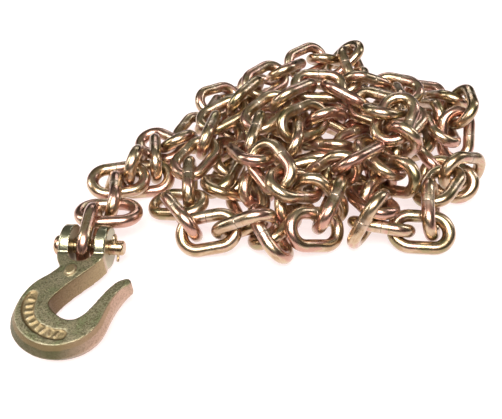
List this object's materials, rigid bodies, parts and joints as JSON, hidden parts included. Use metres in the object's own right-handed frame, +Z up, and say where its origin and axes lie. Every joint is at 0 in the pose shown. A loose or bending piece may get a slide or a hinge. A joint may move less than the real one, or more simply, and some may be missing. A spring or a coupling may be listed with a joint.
{
  "type": "binder chain",
  "caption": "Welded transport binder chain lying in a loose heap, with a forged clevis hook at its end, for tying down loads.",
  "frame": {"origin": "middle of the heap's bounding box, on the ground it lies on", "axes": "+Z up from the ground; the hook lies at -X -Y with its bowl towards -Y, and the heap spreads along +X and +Y"},
  "size_m": [0.3514, 0.3578, 0.0722],
  "materials": {
    "chain_plating": "satin",
    "hook_plating": "satin",
    "pin_plating": "satin"
  },
  "bodies": {
    "heap": {"chain_link_03": "chain_plating", "chain_link_04": "chain_plating", "chain_link_05": "chain_plating", "chain_link_06": "chain_plating", "chain_link_07": "chain_plating", "chain_link_08": "chain_plating", "chain_link_09": "chain_plating", "chain_links_10_12": "chain_plating", "chain_links_13_15": "chain_plating", "chain_links_16_18": "chain_plating", "chain_links_19_21": "chain_plating", "chain_links_22_24": "chain_plating", "chain_links_25_27": "chain_plating", "chain_links_28_29": "chain_plating", "chain_links_30_31": "chain_plating", "chain_links_32_33": "chain_plating", "chain_links_34_35": "chain_plating", "chain_links_36_37": "chain_plating", "chain_links_38_39": "chain_plating", "chain_links_40_41": "chain_plating", "chain_links_42_43": "chain_plating", "chain_links_44_45": "chain_plating", "chain_links_46_47": "chain_plating", "chain_links_48_49": "chain_plating", "chain_links_50_51": "chain_plating", "chain_links_52_53": "chain_plating", "chain_links_54_55": "chain_plating", "chain_links_56_57": "chain_plating", "chain_links_58_59": "chain_plating", "chain_links_60_61": "chain_plating", "chain_links_62_63": "chain_plating", "chain_links_64_65": "chain_plating", "chain_links_66_67": "chain_plating", "chain_links_68_69": "chain_plating", "chain_links_70_71": "chain_plating", "chain_links_72_73": "chain_plating", "chain_links_74_75": "chain_plating", "chain_links_76_77": "chain_plating", "chain_links_78_79": "chain_plating", "chain_links_80_81": "chain_plating", "chain_links_82_83": "chain_plating", "chain_links_84_85": "chain_plating", "chain_links_86_87": "chain_plating", "chain_links_88_89": "chain_plating", "chain_links_90_91": "chain_plating", "chain_links_92_93": "chain_plating", "chain_links_94_95": "chain_plating", "chain_links_96_97": "chain_plating", "chain_links_98_99": "chain_plating", "chain_links_100_101": "chain_plating", "chain_links_102_103": "chain_plating", "chain_links_104_105": "chain_plating", "chain_links_106_107": "chain_plating", "chain_links_108_109": "chain_plating", "chain_links_110_111": "chain_plating"},
    "link_02": {"chain_link_02": "chain_plating"},
    "link_01": {"chain_link_01": "chain_plating"},
    "hook": {"hook": "hook_plating"},
    "pin": {"clevis_pin": "pin_plating", "cotter_pin": "pin_plating"}
  },
  "joints": [
    {"name": "link_02_swing", "type": "hinge", "parent": "heap", "child": "link_02", "pos_m": [-0.1258, -0.04464, 0.02169], "axis": [0.1729, -0.453, 0.8746], "range_deg": [-35, 0]},
    {"name": "link_01_swing", "type": "hinge", "parent": "link_02", "child": "link_01", "pos_m": [-0.1378, -0.06831, 0.02137], "axis": [0.9962, -0.051, -0.0699], "range_deg": [-55, 0]},
    {"name": "hook_swing", "type": "hinge", "parent": "link_01", "child": "hook", "pos_m": [-0.13822, -0.08754, 0.01557], "axis": [0.9976, -0.0698, 0], "range_deg": [-55, 0]},
    {"name": "pin_turn", "type": "hinge", "parent": "hook", "child": "pin", "pos_m": [-0.13822, -0.08754, 0.01557], "axis": [0.9976, -0.0698, 0], "continuous": true}
  ]
}
